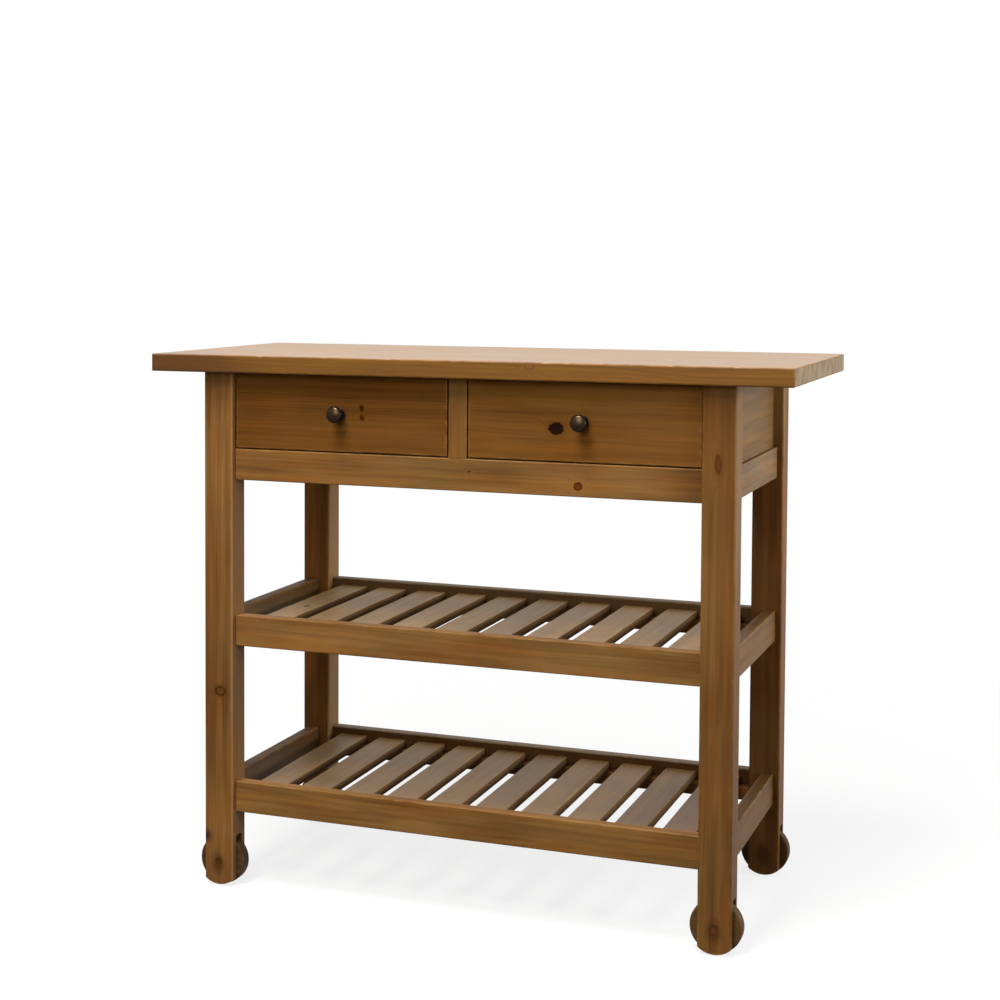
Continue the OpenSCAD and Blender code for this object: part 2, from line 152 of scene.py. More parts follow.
def late_wood(m, wood, heart, bend, nearest):
    """Amount of dark late wood at a point of the tree, from 0 to 1.

    The radius, which is the distance from the heart, gains up to 24 mm from slow noise,
    12 mm per metre of trunk, and up to 11 mm close to a knot. Cut by the ring width, its
    fraction is the time of year and its whole part is the year, some of which are paler.
    """
    noise_bend = 0.024
    trunk_taper = 0.012
    knot_push = 0.011
    heart_line = (0, heart[0] / 1000, heart[1] / 1000)
    round_heart = add(m, "Mapping", {"Vector": wood, "Location": heart_line, "Scale": (0, 1, 1)})
    radius = add(m, "VectorMath", {0: round_heart}, operation="LENGTH").outputs["Value"]
    radius = add(m, "Math", {0: bend, 1: noise_bend, 2: radius}, operation="MULTIPLY_ADD")
    trunk = add(m, "SeparateXYZ", {0: wood})
    radius = add(m, "Math", {0: trunk.outputs["X"], 1: trunk_taper, 2: radius}, operation="MULTIPLY_ADD")
    if nearest:
        push = add(
            m,
            "MapRange",
            {"Value": nearest, "From Min": 0.4, "From Max": 3.2, "To Min": knot_push, "To Max": 0.0},
            interpolation_type="SMOOTHSTEP",
        )
        radius = add(m, "Math", {0: radius, 1: push}, operation="ADD")
    rings = add(m, "Math", {0: radius, 1: 1 / RING_WIDTH}, operation="MULTIPLY")
    season = add(m, "Math", {0: rings}, operation="FRACT")
    year = add(m, "Math", {0: rings}, operation="FLOOR")
    growth = add(m, "TexWhiteNoise", {"W": year}, noise_dimensions="1D")
    late = add(m, "ValToRGB", {"Fac": season}, stops=ONE_YEAR)
    weight = add(m, "MapRange", {"Value": growth.outputs["Value"], "To Min": 0.15, "To Max": 1.0})
    return add(m, "Math", {0: late, 1: weight}, operation="MULTIPLY")


def rubbed_edges(m, tone, local, half, nick, worn):
    """Paints the long edges and corners paler, where use rubbed the stain off.

    Of the distances from the faces, half - |place|, the second smallest is small only at
    an edge. The rub reaches 2.5 mm in on average, from 0.3 mm up to some 7 mm.
    """
    rub_spread = 0.014
    rub_start = -0.0045
    least_rub = 0.0003
    away = add(m, "VectorMath", {0: local}, operation="ABSOLUTE")
    away = add(m, "VectorMath", {0: half, 1: away}, operation="SUBTRACT")
    away = add(m, "SeparateXYZ", {0: away})
    least = add(m, "Math", {0: away.outputs["X"], 1: away.outputs["Y"]}, operation="MINIMUM")
    most = add(m, "Math", {0: away.outputs["X"], 1: away.outputs["Y"]}, operation="MAXIMUM")
    second = add(m, "Math", {0: most, 1: away.outputs["Z"]}, operation="MINIMUM")
    second = add(m, "Math", {0: least, 1: second}, operation="MAXIMUM")
    reach = add(m, "Math", {0: nick, 1: rub_spread, 2: rub_start}, operation="MULTIPLY_ADD")
    reach = add(m, "Math", {0: reach, 1: least_rub}, operation="MAXIMUM")
    rubbed = add(
        m,
        "MapRange",
        {"Value": second, "From Min": 0.0, "From Max": reach, "To Min": worn, "To Max": 0.0},
        interpolation_type="SMOOTHSTEP",
    )
    return add(m, "Mix", {"Factor": rubbed, "A": tone, "B": colour("A87C46")}, data_type="RGBA")


def cut_branches(m, tone, nearest, fibre, knot_tones, halo):
    """Paints each knot as a cut branch: rings with a ragged dark rim, on a reddish halo.

    The fibres make the distance ragged. The knot ends softly between 0.9 and 1.12 of its
    size, and the halo fades out at twice its size.
    """
    ring_tone, rim_tone, halo_tone = knot_tones
    branch_rings = (
        (0.0, rim_tone),
        (0.25, ring_tone),
        (0.5, ring_tone),
        (0.72, rim_tone),
        (1.0, rim_tone),
    )
    ragged = add(m, "Math", {0: fibre, 1: 0.5, 2: nearest}, operation="MULTIPLY_ADD")
    ragged = add(m, "Math", {0: ragged, 1: 0.25}, operation="SUBTRACT")
    around = add(
        m,
        "MapRange",
        {"Value": ragged, "From Min": 1.0, "From Max": 2.0, "To Min": halo, "To Max": 0.0},
        interpolation_type="SMOOTHSTEP",
    )
    tone = add(m, "Mix", {"Factor": around, "A": tone, "B": colour(halo_tone)}, data_type="RGBA")
    branch = add(m, "ValToRGB", {"Fac": ragged}, stops=branch_rings)
    inside = add(
        m,
        "MapRange",
        {"Value": ragged, "From Min": 0.9, "From Max": 1.12, "To Min": 1.0, "To Max": 0.0},
        interpolation_type="SMOOTHSTEP",
    )
    return add(m, "Mix", {"Factor": inside, "A": tone, "B": branch}, data_type="RGBA")


def paint_patches(m, tone, whole, patches, grit, patch):
    """Paints soft patches: where grease or stain soaked in or an edge was knocked off, and
    patches of painted light and painted shade.

    The stain's edge wanders with the patch noise, and that of a patch under 50 mm is gritty
    as well. Where both are 0.5, their average, the stain is full up to 0.15 of the half
    lengths and gone at 1.
    """
    gritty_below = 50
    for centre, half_lengths, depth, stain in patches:
        small = max(r for r in half_lengths if r < ALL) < gritty_below
        far = ellipsoid(m, whole, centre, half_lengths)
        far = add(m, "Math", {0: patch, 1: 0.8, 2: far}, operation="MULTIPLY_ADD")
        far = add(m, "Math", {0: grit if small else 0.5, 1: 0.4, 2: far}, operation="MULTIPLY_ADD")
        soaked = add(
            m,
            "MapRange",
            {"Value": far, "From Min": 0.75, "From Max": 1.6, "To Min": depth, "To Max": 0.0},
            interpolation_type="SMOOTHSTEP",
        )
        tone = add(m, "Mix", {"Factor": soaked, "A": tone, "B": colour(stain)}, data_type="RGBA")
    return tone


# Turns that lay a board's own x axis along its grain. Its other two axes are then the
# table's y and z where the grain runs along X, -x and z along Y, and y and -x along Z.
GRAIN_TURN = {"X": (0, 0, 0), "Y": (0, 0, math.pi / 2), "Z": (0, -math.pi / 2, 0)}


def stained_pine(
    piece,
    grain,
    light,
    dark="4C2E16",
    contrast=0.26,
    strength=1.1,
    heart=(60, 25),
    seed=0,
    knots=(),
    knot_tones=("6B3A10", "381B06", "5A300E"),
    halo=0.5,
    patches=(),
    boards=None,
    flanks=None,
    end_stain=0.45,
    worn=0.3,
    wear_and_glare=None,
    gloss=0.5,
    shine=0.06,
):
    """Oil-stained pine, planed and sealed with a satin coat.

    The eye sees soft lighter and darker bands along the board, redder and greener patches
    where the stain took unevenly, faint lines of late wood, fine fibres and a paler rubbed
    edge.

    light and dark are early and late wood, and contrast is how far they part. strength is
    that of the bands and clouds. heart is where the middle of the tree lies, across the
    grain, and seed moves the board along it. A knot is the centre and the half lengths of
    an ellipsoid, and a patch has its depth and colour as well: their lengths, as those of
    the heart and the boards, are in millimetres on the piece's own axes, the grain first.
    boards are the pitch, number and width of boards in one node, and flanks the colour of
    their sawn edges, painted dark as painted shade between neighbouring boards. wear is a
    function that gives the finished surface its signs of use, and on the tabletop a painted
    reflection as well.
    """
    low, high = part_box(piece)
    middle = (low + high) / 2
    x, y, z = (high - low) / 2
    half = {"X": (x, y, z), "Y": (y, x, z), "Z": (z, y, x)}[grain]
    m = new_material("stained_pine_" + piece)
    surface = add(m, "TexCoord")
    whole = add(
        m,
        "Mapping",
        {"Vector": surface.outputs["Object"], "Location": middle, "Rotation": GRAIN_TURN[grain]},
        vector_type="TEXTURE",
    )
    if boards:
        pitch, count, width = boards
        half = (half[0], width / 2000, half[2])
        local, wood, chance = side_by_side(m, whole, pitch / 1000, count)
    else:
        seed_step = 1.7
        local = whole
        wood = add(m, "VectorMath", {0: whole, 1: (seed * seed_step, 0, 0)}, operation="ADD")
        chance = None

    # Fibres are drawn 2 mm wide, coarser than real ones, so that they show. The bands are
    # 10 mm wide, the patches 30 mm, the clouds of stain 60 mm and the bends 80 mm.
    fibre = drawn_out(m, wood, (9, 500), (seed, 0, 0), roughness=0.55)
    band = drawn_out(m, wood, (3.5, 95), (0, seed, 0))
    patch = drawn_out(m, wood, (9, 34), (seed, seed, 3))
    cloud = drawn_out(m, wood, (6, 17), (0, 0, seed), detail=3.0)
    bend = drawn_out(m, wood, (2.2, 13), (seed, seed * 2.3, seed * 0.7))
    nick = drawn_out(m, wood, (38, 90), (0, seed, 0))
    grit = add(m, "TexNoise", {"Vector": whole, "Scale": 260.0, "Detail": 1.0})
    nearest = nearest_knot(m, whole, knots, grit)
    late = late_wood(m, wood, heart, bend, nearest)

    # Early to late wood, then redder where the stain took badly
    amount = add(m, "Math", {0: late, 1: contrast}, operation="MULTIPLY")
    tone = add(m, "Mix", {"Factor": amount, "A": colour(light), "B": colour(dark)}, data_type="RGBA")
    most_red = 0.8 * strength
    red = add(m, "MapRange", {"Value": patch, "From Min": 0.38, "From Max": 0.68, "To Max": most_red})
    tint = add(m, "Mix", {"Factor": red, "A": (1, 1, 1, 1), "B": (1.02, 0.82, 0.62, 1)}, data_type="RGBA")
    tone = add(m, "VectorMath", {0: tone, 1: tint}, operation="MULTIPLY")

    # Lighter and darker. Each pattern is 0.5 on average, so the sum is 1 on average.
    shades = [(fibre, 0.3), (band, 1.1 * strength), (cloud, 0.9 * strength)]
    if boards:
        shades.append((chance, 0.24))
    value = 1 - sum(share for _, share in shades) / 2
    for pattern, share in shades:
        value = add(m, "Math", {0: pattern, 1: share, 2: value}, operation="MULTIPLY_ADD")
    tone = add(m, "VectorMath", {0: tone, "Scale": value}, operation="SCALE")

    # End grain drinks more stain: full where a face looks along the grain, none past 32 degrees
    facing = add(m, "SeparateXYZ", {0: surface.outputs["Normal"]})
    end = add(m, "Math", {0: facing.outputs[grain]}, operation="ABSOLUTE")
    ends = add(m, "MapRange", {"Value": end, "From Min": 0.85, "From Max": 1.0, "To Max": end_stain})
    tone = add(m, "Mix", {"Factor": ends, "A": tone, "B": colour(dark)}, data_type="RGBA")

    tone = rubbed_edges(m, tone, local, half, nick, worn)
    if knots:
        tone = cut_branches(m, tone, nearest, fibre, knot_tones, halo)
    tone = paint_patches(m, tone, whole, patches, grit, patch)

    # The coat is 0.08 duller or glossier than gloss with the clouds of stain, and the late
    # wood stands up a little
    rough = add(m, "Math", {0: cloud, 1: 0.16, 2: gloss - 0.08}, operation="MULTIPLY_ADD")
    if wear_and_glare:
        tone, rough = wear_and_glare(m, tone, rough, facing, end, patch)
    height = add(m, "Math", {0: fibre, 1: 0.5, 2: late}, operation="MULTIPLY_ADD")
    relief = add(m, "Bump", {"Height": height, "Strength": 0.22, "Distance": 0.0004})
    coat = {"Roughness": rough, "Normal": relief, "IOR": 1.5, "Specular IOR Level": shine}
    shader = add(m, "BsdfPrincipled", {"Base Color": tone, **coat})
    if flanks:
        # The long edges of a slat were left sawn: rough and without a shine, and painted dark as
        # painted shade between neighbouring slats
        side = add(m, "Math", {0: facing.outputs["X"]}, operation="ABSOLUTE")
        sawn = add(m, "MapRange", {"Value": side, "From Min": 0.6, "From Max": 0.9})
        shaded_flank = add(m, "VectorMath", {0: colour(flanks)[:3], "Scale": value}, operation="SCALE")
        shaded_flank = add(m, "BsdfDiffuse", {"Color": shaded_flank})
        shader = add(m, "MixShader", {0: sawn, 1: shader, 2: shaded_flank})
    add(m, "OutputMaterial", {"Surface": shader})
    return m


def finish_with(piece, material):
    """Puts one material on every slot of a CAD node."""
    slots = nodes[piece].data.materials
    slots.clear()
    slots.append(material)


# On a leg's own axes the foot is at -415, the top at 415, the front face at -22.5 and the
# left face at 25. Round its axle each leg is dark with grease.
AXLE_GREASE = ((-381, 0, 0), (26, ALL, 17), 0.8, "3C200C")
LEGS = {
    "front_left": {
        "light": "714E27",
        "dark": "462913",
        "knots": (((-99.5, 0, -3.1), (8.5, ALL, 10)),),
        "knot_tones": ("5C3A16", "3E2309", "5A300E"),
        "patches": (
            AXLE_GREASE,
            ((-50, -22, 25), (250, ALL, 24), 0.35, "553212"),
            # Painted shade: darker towards the foot
            ((-417, -22, 0), (95, ALL, ALL), 0.35, "54351C"),
            ((-337, -22, 25), (19, 40, 16), 1.0, "261010"),
            # Painted light: the right face is paler
            ((0, 0, -25), (ALL, ALL, 5), 0.65, "966E46"),
        ),
    },
    "front_right": {
        "light": "6B4A24",
        "dark": "422612",
        "knots": (((301, 0, 0.8), (14, ALL, 5)),),
        "knot_tones": ("4E2C0E", "3A1C08", "5A300E"),
        "patches": (
            AXLE_GREASE,
            ((200, -22, -25), (600, ALL, 32), 0.25, "6A4220"),
            ((420, -22, 0), (330, 30, ALL), 0.4, "5E3A10"),
            # Painted light on the upper part of the right face, and painted shade on its lower part
            ((300, 0, -25), (300, ALL, 4), 0.35, "A07C50"),
            ((-300, 0, -25), (350, ALL, 5), 0.6, "482C12"),
        ),
    },
    "rear_left": {
        "light": "8E5F2D",
        "dark": "583315",
        "patches": (
            AXLE_GREASE,
            # Painted shade: darker over the lower part of the leg
            ((-417, 0, 0), (600, ALL, ALL), 0.7, "3A1E08"),
            # Painted light: the right face is paler
            ((0, 0, -25), (ALL, ALL, 5), 0.6, "A8845A"),
        ),
    },
    "rear_right": {
        "light": "764F28",
        "dark": "4A2D15",
        "patches": (
            AXLE_GREASE,
            # Painted shade: darker over the lower part of the leg
            ((-417, 0, 0), (600, ALL, ALL), 0.5, "3A1E08"),
            # Painted light on the front face near the top
            ((417, -22, 0), (140, 20, ALL), 0.6, "A07A4C"),
        ),
    },
}
for number, (corner, look) in enumerate(LEGS.items()):
    leg = "leg_" + corner
    heart = (48 + 9 * number, 30 - 12 * number)
    finish_with(leg, stained_pine(leg, "Z", heart=heart, seed=1 + number, **look))

# Rails
# Twelve rails of the same pine, 50 by 20 mm, tenoned into the legs. Their edges and
# shoulders are eased, so that a fine dark line shows where each one meets a leg.
RAIL_LOOK = {"light": "75532B", "dark": "482C14", "knot_tones": ("5E3008", "421F05", "8C5A20")}
# The case rail's right end is darker. The rear shelf rails have painted shade on the inner
# face, at -10, and a painted highlight along the top edge.
PAINTED_LIT_TOP_EDGE = ((0, 0, 25), (ALL, ALL, 3), 0.5, "A8937A")
RAILS = {
    "case_front_rail": {
        "knots": (((190.4, 0, -9.2), (7, ALL, 6.5)), ((19, 0, 5.6), (4, ALL, 1.6))),
        "patches": (((385, 0, 0), (75, ALL, ALL), 0.45, "4A2A10"),),
    },
    "case_right_rail": {"light": "7A5F40", "dark": "4C3824"},
    "middle_rear_rail": {
        # Painted shade on the inner face and a painted highlight on the top edge
        "patches": (((0, -10, 0), (ALL, 10, ALL), 0.85, "513C21"), PAINTED_LIT_TOP_EDGE),
    },
    "middle_left_rail": {"light": "6A4E2E", "dark": "3E2813"},
    "middle_right_rail": {"light": "70512D", "dark": "452B15"},
    "lower_rear_rail": {
        # Painted shade on the inner face and a painted highlight on the top edge
        "patches": (((0, -10, 0), (ALL, 10, ALL), 0.85, "3E230B"), PAINTED_LIT_TOP_EDGE),
    },
    "lower_left_rail": {"light": "644A2E", "dark": "3A2614"},
    "lower_right_rail": {"light": "624423", "dark": "3A2410"},
}
for level, shelf in enumerate(("case", "middle", "lower")):
    for number, side in enumerate(("front", "rear", "left", "right")):
        rail = f"{shelf}_{side}_rail"
        grain = "X" if side in ("front", "rear") else "Y"
        heart = (35 + 14 * number, 20 - 11 * level)
        look = {**RAIL_LOOK, **RAILS.get(rail, {})}
        finish_with(rail, stained_pine(rail, grain, heart=heart, seed=11 + 4 * level + number, **look))

# Drawer case
# Thin panels close the ends and the back, and an upright parts the two drawers.
# The panels sit in grooves in the legs, with their grain along the table or across it.
PANELS = (
    ("side_panel_left", "Y", "7A5A32"),
    ("side_panel_right", "Y", "7A5A32"),
    ("back_panel", "X", "7A5A32"),
    ("drawer_divider", "Z", "7A5528"),
)
for number, (panel, grain, light) in enumerate(PANELS):
    heart = (40 + 30 * number, 15)
    wood = stained_pine(panel, grain, light=light, heart=heart, seed=31 + number, strength=0.8)
    finish_with(panel, wood)

# Runners and kickers
# Strips of bare pine inside the case that carry the drawers and keep them level.
# They were never stained, so they are paler.
BARE_PINE = {"light": "C29A66", "dark": "95683A", "worn": 0.0, "gloss": 0.6}
for number, kind in enumerate(("runner", "kicker")):
    for order, side in enumerate(("left", "centre", "right")):
        strip = f"{kind}_{side}"
        finish_with(strip, stained_pine(strip, "Y", seed=41 + 3 * number + order, **BARE_PINE))

# Shelves
# Ten slats on each shelf lie on cleats that are fixed inside the front and rear rails.
# The slats are painted greyer than the rails, as a painted reflection of the bright room at
# a low angle.
SLAT_BOARDS = (74.4444, 10, 51)
# Their own axes run to the back and to the left, so the table's right end is at -360. On
# both shelves the front half is painted darker and greyer, as painted shade that evens out
# the stronger light at the front.
PAINTED_FRONT_SHADE = ((-210, 0, 0), (230, ALL, ALL), 0.6, "5C4832")
SLATS = {
    "middle": {
        # Painted paler than the lower slats, as painted light against the shade of the drawer case above
        "light": "A07E50",
        "dark": "6B5334",
        "knots": (((-31, 330, 0), (7, 4, ALL)),),
        "patches": (
            # Painted shade over the front half
            PAINTED_FRONT_SHADE,
            ((100, 313, 7), (20, 2.5, ALL), 0.7, "3A2614"),
            ((126, 177, 7), (24, 3, ALL), 0.7, "3A2614"),
        ),
    },
    "lower": {
        "light": "87683F",
        "dark": "5B4428",
        # The front half has painted shade, and the right end of the lower shelf a painted shadow
        "patches": (PAINTED_FRONT_SHADE, ((-60, -320, 0), (300, 180, ALL), 0.6, "563C2C")),
    },
}
for number, (shelf, look) in enumerate(SLATS.items()):
    slats = shelf + "_slats"
    wood = stained_pine(
        slats,
        "Y",
        seed=51 + number,
        heart=(25, 55),
        boards=SLAT_BOARDS,
        strength=0.55,
        flanks="6E5238",
        worn=0.1,
        shine=0.25,
        **look,
    )
    finish_with(slats, wood)
    for side in ("front", "rear"):
        cleat = f"{shelf}_{side}_cleat"
        finish_with(cleat, stained_pine(cleat, "X", light="7A522A", dark="543517", seed=53 + number))

# Wheels, axles and plugs
# Each wheel is a disc cut from a board and turned, stained darker than the legs.
# It runs on a steel axle whose ends are hidden by round plugs in the legs.
WHEEL_TONES = {
    "front_left": ("463320", "2C1F14"),
    "front_right": ("523E26", "342414"),
    "rear_left": ("44301A", "2C1C0C"),
    "rear_right": ("44301A", "2C1C0C"),
}


def drawn_steel():
    """Cold-drawn mild steel rod and screws: grey, bright, with faint lengthwise streaks."""
    m = new_material("drawn_steel")
    surface = add(m, "TexCoord")
    stretched = add(m, "Mapping", {"Vector": surface.outputs["Object"], "Scale": (900, 60, 900)})
    streak = add(m, "TexNoise", {"Vector": stretched, "Scale": 1.0, "Detail": 2.0})
    tone = add(m, "Mix", {"Factor": streak, "A": colour("8E8F92"), "B": colour("B4B5B8")}, data_type="RGBA")
    rough = add(m, "Math", {0: streak, 1: 0.15, 2: 0.28}, operation="MULTIPLY_ADD")
    shader = add(m, "BsdfPrincipled", {"Base Color": tone, "Roughness": rough, "Metallic": 1.0})
    add(m, "OutputMaterial", {"Surface": shader})
    return m


steel = drawn_steel()
for number, (corner, (light, dark)) in enumerate(WHEEL_TONES.items()):
    wheel = "wheel_" + corner
    finish_with(wheel, stained_pine(wheel, "X", light=light, dark=dark, seed=61 + number, worn=0.15))
    finish_with("axle_" + corner, steel)
finish_with("axle_plugs", stained_pine("axle_plugs", "Y", light="5E3E1A", dark="3A220D", worn=0.0))

# Tabletop
# One board, 28 mm thick, that overhangs the legs all round. Screws through the kickers
# hold it from below, and its front edge is rubbed paler by use.


def worktop_wear_and_glare(m, tone, rough, facing, end, patch):
    """Signs of use and a painted reflection: the upper face is worn pale and polished, and
    painted paler still as a painted reflection of the bright room, and the end grain has
    dried.

    Above, the stain's colour is multiplied by a gain that is largest in blue, for the painted
    reflection, and the roughness falls by 0.25. The ends go 55 percent of the way to streaks
    of bare, weathered wood.
    """
    # Painted reflection: the upper face's colour gains most in blue
    pale_and_glare_gain = (1.75, 2.25, 6.2, 1)
    upper = add(m, "MapRange", {"Value": facing.outputs["Z"], "From Min": 0.5, "From Max": 0.95})
    rough = add(m, "Math", {0: upper, 1: -0.25, 2: rough}, operation="MULTIPLY_ADD")
    pale = add(m, "Mix", {"Factor": upper, "A": (1, 1, 1, 1), "B": pale_and_glare_gain}, data_type="RGBA")
    tone = add(m, "VectorMath", {0: tone, 1: pale}, operation="MULTIPLY")
    dry = add(m, "MapRange", {"Value": end, "From Min": 0.85, "From Max": 1.0, "To Max": 0.55})
    streak = add(m, "MapRange", {"Value": patch, "From Min": 0.35, "From Max": 0.65})
    shades = {"A": colour("84705A"), "B": colour("B09A7A")}
    bare = add(m, "Mix", {"Factor": streak, **shades}, data_type="RGBA")
    tone = add(m, "Mix", {"Factor": dry, "A": tone, "B": bare}, data_type="RGBA")
    return tone, rough


# Small knocks along the upper front edge, at -235 and 14, and a darker left end
CHIPS = tuple(((x, -235, 14), (8, 3, 3), 0.55, "A88350") for x in (-320, -104, 146, 181, 334, 431))
DARK_LEFT_END = (
    ((-500, -235, 0), (190, 120, ALL), 0.35, "3C200C"),
    ((-500, -235, 0), (330, 7, ALL), 0.45, "3C200C"),
)
top_wood = stained_pine(
    "tabletop",
    "X",
    light="704A17",
    dark="452809",
    contrast=0.45,
    strength=0.6,
    heart=(120, 90),
    seed=71,
    knots=(((123, -235, 8), (8, 10, 7)),),
    knot_tones=("74491E", "633C17", "6E461B"),
    patches=(*DARK_LEFT_END, *CHIPS),
    end_stain=0.0,
    wear_and_glare=worktop_wear_and_glare,
    gloss=0.55,
    shine=0.16,
)
finish_with("tabletop", top_wood)
finish_with("top_screws", steel)

# Drawers
# Each drawer has a thick stained front lapped over plain pine sides, a back and a thin
# bottom held in grooves.
DRAWERS = {
    "left": {
        "light": "66411A",
        "dark": "3E240E",
        # Two old nail marks beside the knob
        "knots": (((38, 0, 10.1), (3.6, ALL, 4.9)), ((38.7, 0, -4.8), (3.8, ALL, 4.1))),
        "knot_tones": ("3E1F06", "3E1F06", "4A280E"),
    },
    "right": {
        "light": "6E481E",
        "dark": "42260E",
        "knots": (((-40.3, 0, -10.6), (11.5, ALL, 9.6)),),
        "knot_tones": ("1E1009", "1E1009", "4A280E"),
        # Painted light along the top, against the shadow under the tabletop, and paler towards the
        # right
        "patches": (
            ((0, 0, 40), (400, ALL, 24), 0.5, "885B27"),
            ((110, 0, -5), (150, ALL, 60), 0.35, "7D552C"),
        ),
    },
}
DRAWER_BOX = {"left_side": "Y", "right_side": "Y", "back": "X", "bottom": "X"}
for number, (side, look) in enumerate(DRAWERS.items()):
    front = side + "_drawer_front"
    wood = stained_pine(
        front,
        "X",
        strength=0.7,
        heart=(30, 45),
        seed=81 + number,
        halo=0.2,
        shine=0.01,
        **look,
    )
    finish_with(front, wood)
    for part, grain in DRAWER_BOX.items():
        board = f"{side}_drawer_{part}"
        finish_with(board, stained_pine(board, grain, seed=84 + number, **BARE_PINE))
    finish_with(side + "_knob_screw", steel)

# Knobs
# Cast pewter with a dark antique finish: a domed head with a rounded rim on a waisted
# neck, and a round foot against the drawer front. The underside is painted nearly black,
# as painted shade.


def turned(name, outline, centre):
    """A turned piece whose axis runs along Y through centre.

    The outline is a row of (radius, reach) pairs in millimetres, reach being measured
    towards -Y. Each pair is carried round the axis: x = radius cos t, y = -reach,
    z = radius sin t. The outline starts and ends on the axis, where one point and a ring
    of triangles close the piece.
    """
    sides = 96
    outline = np.array(outline) / 1000
    ring = outline[1:-1]
    t = np.linspace(0, 2 * math.pi, sides, endpoint=False)
    r, reach = ring[:, :1], ring[:, 1:]
    skin = np.stack([r * np.cos(t), -reach + 0 * t, r * np.sin(t)], axis=2).reshape(-1, 3)
    poles = np.array([[0, -outline[0, 1], 0], [0, -outline[-1, 1], 0]])
    points = np.vstack([skin, poles]) + np.array(centre)
    i = np.arange(len(ring) - 1)[:, None] * sides
    j = np.arange(sides)[None, :]
    k = (j + 1) % sides
    walls = np.stack([i + j, i + k, i + sides + k, i + sides + j], axis=2).reshape(-1, 4)
    last = (len(ring) - 1) * sides
    first_cap = np.stack([np.full(sides, len(skin)), k[0], j[0]], axis=1)
    last_cap = np.stack([np.full(sides, len(skin) + 1), last + j[0], last + k[0]], axis=1)
    mesh = bpy.data.meshes.new(name)
    mesh.from_pydata(points.tolist(), [], walls.tolist() + first_cap.tolist() + last_cap.tolist())
    mesh.shade_smooth()
    mesh.set_sharp_from_angle(angle=math.radians(35))
    piece = bpy.data.objects.new(name, mesh)
    bpy.context.scene.collection.objects.link(piece)
    return piece


def arc(centre, radius, start, stop, steps):
    """Points of an arc in the outline's plane, from one angle to another, in degrees."""
    a = np.radians(np.linspace(start, stop, steps))
    return np.column_stack([centre[0] + radius * np.cos(a), centre[1] + radius * np.sin(a)])


def knob_outline():
    """Half section of a knob in millimetres, from the drawer front to the top of the dome.

    A round-edged foot and a small bead are arcs. The waist is the neck's radius, plus a
    cosine that sinks from 2.4 mm to 0 over its first 5/8, plus a parabola that flares to
    2.7 mm over the last 28 percent. The rim and the dome are arcs that share a tangent.
    """
    knob_l = 26
    foot_r = 11
    foot_half_t = 1.25
    neck_r = 5
    bead_top = 3.9
    rim_r = 5
    rim_x = 8
    dome_r = 30
    dome_y = knob_l - dome_r
    rim_y = dome_y + math.sqrt((dome_r - rim_r) ** 2 - rim_x**2)
    meet = math.degrees(math.atan2(rim_y - dome_y, rim_x))
    foot = arc((foot_r - foot_half_t, foot_half_t), foot_half_t, -90, 90, 13)
    bead = arc((7.6, 3.0), 0.7, -45, 100, 9)
    s = np.linspace(0, 1, 25)
    foot_side = 1.2 + 1.2 * np.cos(math.pi * np.minimum(s * 1.6, 1))
    head_side = 2.7 * (np.clip(s - 0.72, 0, 1) / 0.28) ** 2
    rise = rim_y - rim_r - bead_top
    waist = np.column_stack([neck_r + foot_side + head_side, bead_top + rise * s])
    rim = arc((rim_x, rim_y), rim_r, -90, meet, 25)
    dome = arc((0, dome_y), dome_r, meet, 90, 25)[1:-1]
    return np.vstack([[0, 0], foot, bead, waist, rim, dome, [0, knob_l]])


def antique_pewter():
    """Cast pewter, darkened and wiped: brown-grey metal, with painted shade that turns the
    undersides near black.

    It is mottled in patches about 6 mm wide and faintly pitted at about 1.5 mm, which is
    coarser than real pits, so that they show.
    """
    m = new_material("antique_pewter")
    surface = add(m, "TexCoord")
    cast = add(m, "TexNoise", {"Vector": surface.outputs["Object"], "Scale": 700.0, "Detail": 3.0})
    patch = add(m, "TexNoise", {"Vector": surface.outputs["Object"], "Scale": 160.0, "Detail": 2.0})
    tone = add(m, "Mix", {"Factor": patch, "A": colour("342A1C"), "B": colour("4C3E2C")}, data_type="RGBA")
    facing = add(m, "SeparateXYZ", {0: surface.outputs["Normal"]})
    # Painted shade: faces that look down go near black
    under = add(
        m,
        "MapRange",
        {"Value": facing.outputs["Z"], "From Min": -0.4, "From Max": 0.6, "To Min": 0.85, "To Max": 0.0},
        interpolation_type="SMOOTHSTEP",
    )
    tone = add(m, "Mix", {"Factor": under, "A": tone, "B": colour("1A1312")}, data_type="RGBA")
    rough = add(m, "Math", {0: patch, 1: 0.16, 2: 0.2}, operation="MULTIPLY_ADD")
    pits = add(m, "Bump", {"Height": cast, "Strength": 0.2, "Distance": 0.0003})
    coat = {"Roughness": rough, "Normal": pits, "Metallic": 1.0}
    shader = add(m, "BsdfPrincipled", {"Base Color": tone, **coat})
    add(m, "OutputMaterial", {"Surface": shader})
    return m


# Middle of each drawer's front face, where the knob's foot stands
KNOB_X = {"left": -0.19625, "right": 0.19625}
DRAWER_FACE_Y = -0.205
KNOB_Z = 0.7705
pewter = antique_pewter()
for side, x in KNOB_X.items():
    knob = turned(side + "_pewter_knob", knob_outline(), (x, DRAWER_FACE_Y, KNOB_Z))
    knob.data.materials.append(pewter)
    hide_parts(side + "_knob")
    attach(knob, side + "_drawer")

# Floor
# A plain pale studio floor that is not part of the table. The camera sees it white, with
# the table's soft shadow, and it sends only a little light back up.


def seen_directly(owner):
    """1 for rays from the camera, mirrored or through glass, and 0 for those that light."""
    rays = add(owner, "LightPath")
    seen = rays.outputs["Is Camera Ray"]
    for kind in ("Is Glossy Ray", "Is Transmission Ray"):
        seen = add(owner, "Math", {0: seen, 1: rays.outputs[kind]}, operation="MAXIMUM")
    return seen


